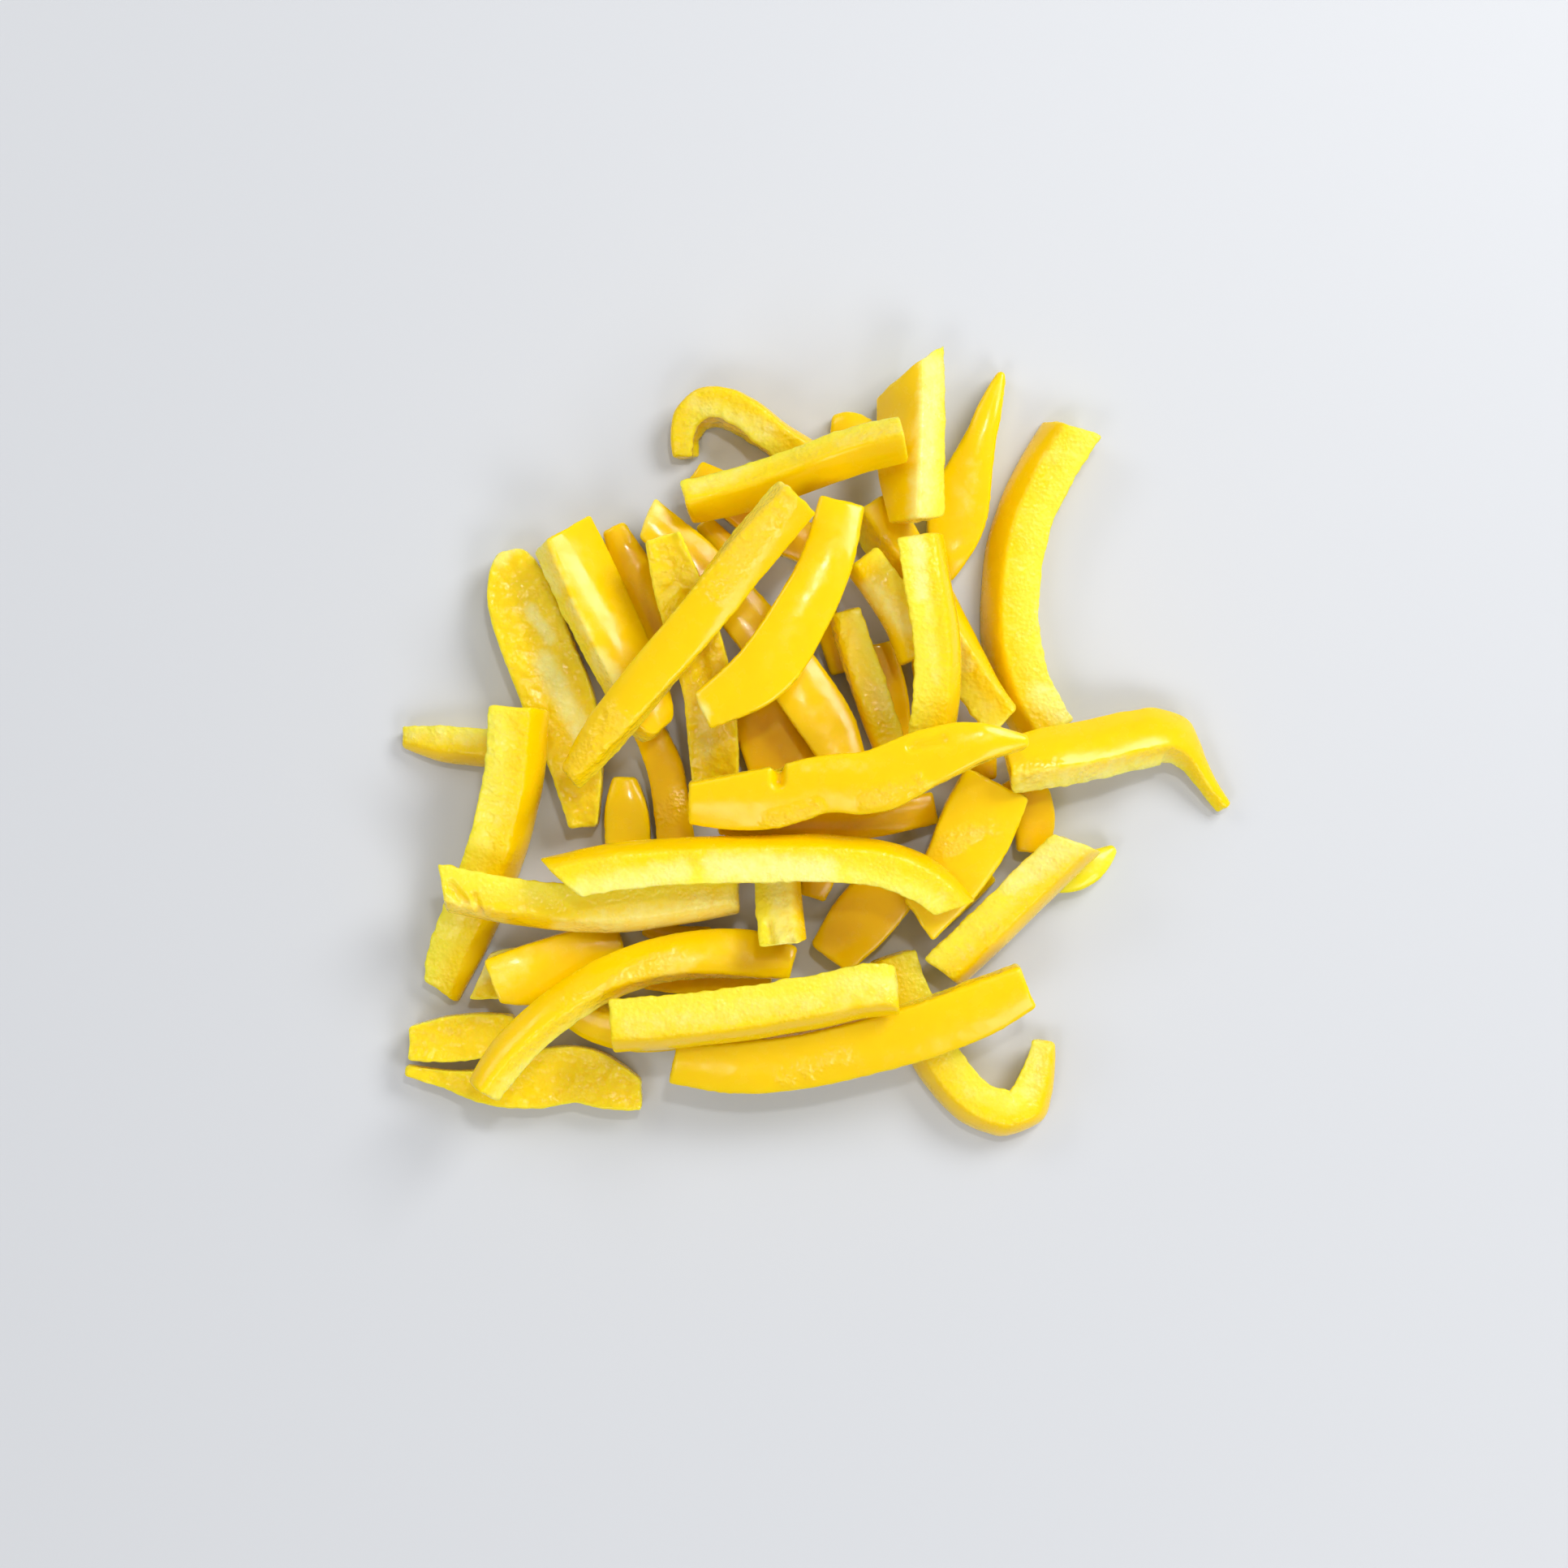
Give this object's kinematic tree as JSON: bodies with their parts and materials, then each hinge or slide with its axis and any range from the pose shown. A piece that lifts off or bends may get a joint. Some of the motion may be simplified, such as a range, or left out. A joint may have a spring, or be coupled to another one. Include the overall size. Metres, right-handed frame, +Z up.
{
  "type": "heap of sliced bell pepper strips",
  "caption": "Raw yellow bell pepper cut lengthwise into strips and heaped loosely, skin, flesh and knife-cut faces showing, resting on a flat surface.",
  "frame": {"origin": "centre of the heap's bounding box, on the surface it stands on", "axes": "+Z up, away from the surface; +X to the right of the heap as seen from above, along its longest extent; +Y away from the viewer"},
  "size_m": [0.1774, 0.1687, 0.0335],
  "materials": {
    "pepper_flesh": "glossy, wet"
  },
  "bodies": {
    "root": {"sliver_left": "pepper_flesh", "leaf_low_right": "pepper_flesh", "flat_front_left": "pepper_flesh", "lobe_front_left": "pepper_flesh", "curved_low_front": "pepper_flesh", "low_front_middle": "pepper_flesh", "boat_left": "pepper_flesh", "low_back_left": "pepper_flesh", "low_back_middle": "pepper_flesh", "low_centre": "pepper_flesh", "low_centre_right": "pepper_flesh", "long_curve_right": "pepper_flesh", "offcut_back": "pepper_flesh", "spear_back_right": "pepper_flesh", "stub_left": "pepper_flesh", "under_left": "pepper_flesh", "arch_right_leg": "pepper_flesh", "slope_front_middle": "pepper_flesh", "hook_front_right": "pepper_flesh", "fill_left_edge": "pepper_flesh", "fill_middle": "pepper_flesh", "fill_front_middle": "pepper_flesh", "fill_middle_right": "pepper_flesh", "fill_right": "pepper_flesh", "fill_front_left": "pepper_flesh", "fill_front_right": "pepper_flesh", "fill_back_left": "pepper_flesh", "upright_left": "pepper_flesh", "slant_front_right": "pepper_flesh", "pale_end_front_left": "pepper_flesh", "rounded_front_left": "pepper_flesh", "low_long_middle": "pepper_flesh", "long_diagonal_low": "pepper_flesh", "slant_right": "pepper_flesh", "ridge_back_right": "pepper_flesh", "wide_back_left": "pepper_flesh", "wet_face_middle": "pepper_flesh", "lobe_middle_right": "pepper_flesh", "hook_back_left": "pepper_flesh", "crossbar_back": "pepper_flesh", "inner_back_left": "pepper_flesh", "upright_right": "pepper_flesh", "arch_right": "pepper_flesh", "arc_front_left": "pepper_flesh", "torn_end": "pepper_flesh", "bent_arm": "pepper_flesh", "front_long_skin": "pepper_flesh", "front_long_inner": "pepper_flesh", "upper_front_left": "pepper_flesh", "diagonal_skin_top": "pepper_flesh", "thin_diagonal_top": "pepper_flesh", "s_curve_top": "pepper_flesh", "long_pale_top": "pepper_flesh"}
  },
  "joints": []
}
